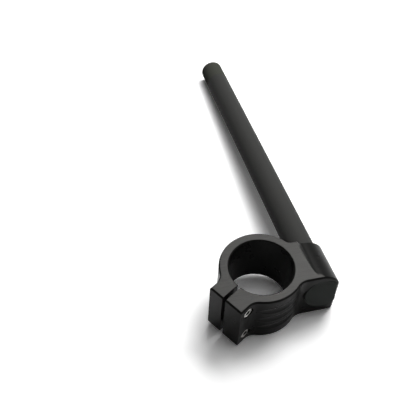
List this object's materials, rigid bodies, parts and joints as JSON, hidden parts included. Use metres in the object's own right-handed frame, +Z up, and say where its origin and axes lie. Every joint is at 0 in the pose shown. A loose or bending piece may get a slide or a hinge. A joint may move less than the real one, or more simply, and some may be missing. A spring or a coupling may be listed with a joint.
{
  "type": "clip-on handlebar",
  "caption": "Right-hand clip-on handlebar: a split fork clamp with a side barrel that holds a straight, drooping tube, closed by a flat plug and pinched by socket head bolts.",
  "frame": {"origin": "on the fork axis at the clamp's bottom face", "axes": "+Z up the fork leg, +X from the fork leg to the bar, +Y along the bar to its outer end"},
  "size_m": [0.0976, 0.3496, 0.0768],
  "materials": {
    "clamp_black": "satin black anodised",
    "tube_black": "matte black anodised",
    "plug_black": "matte black anodised",
    "bolt_steel": "bright plated",
    "screw_steel": "black oxide"
  },
  "bodies": {
    "root": {"clamp_body": "clamp_black", "handlebar_tube": "tube_black", "tube_plug": "plug_black", "pinch_bolts": "bolt_steel", "bar_set_screws": "screw_steel"}
  },
  "joints": []
}
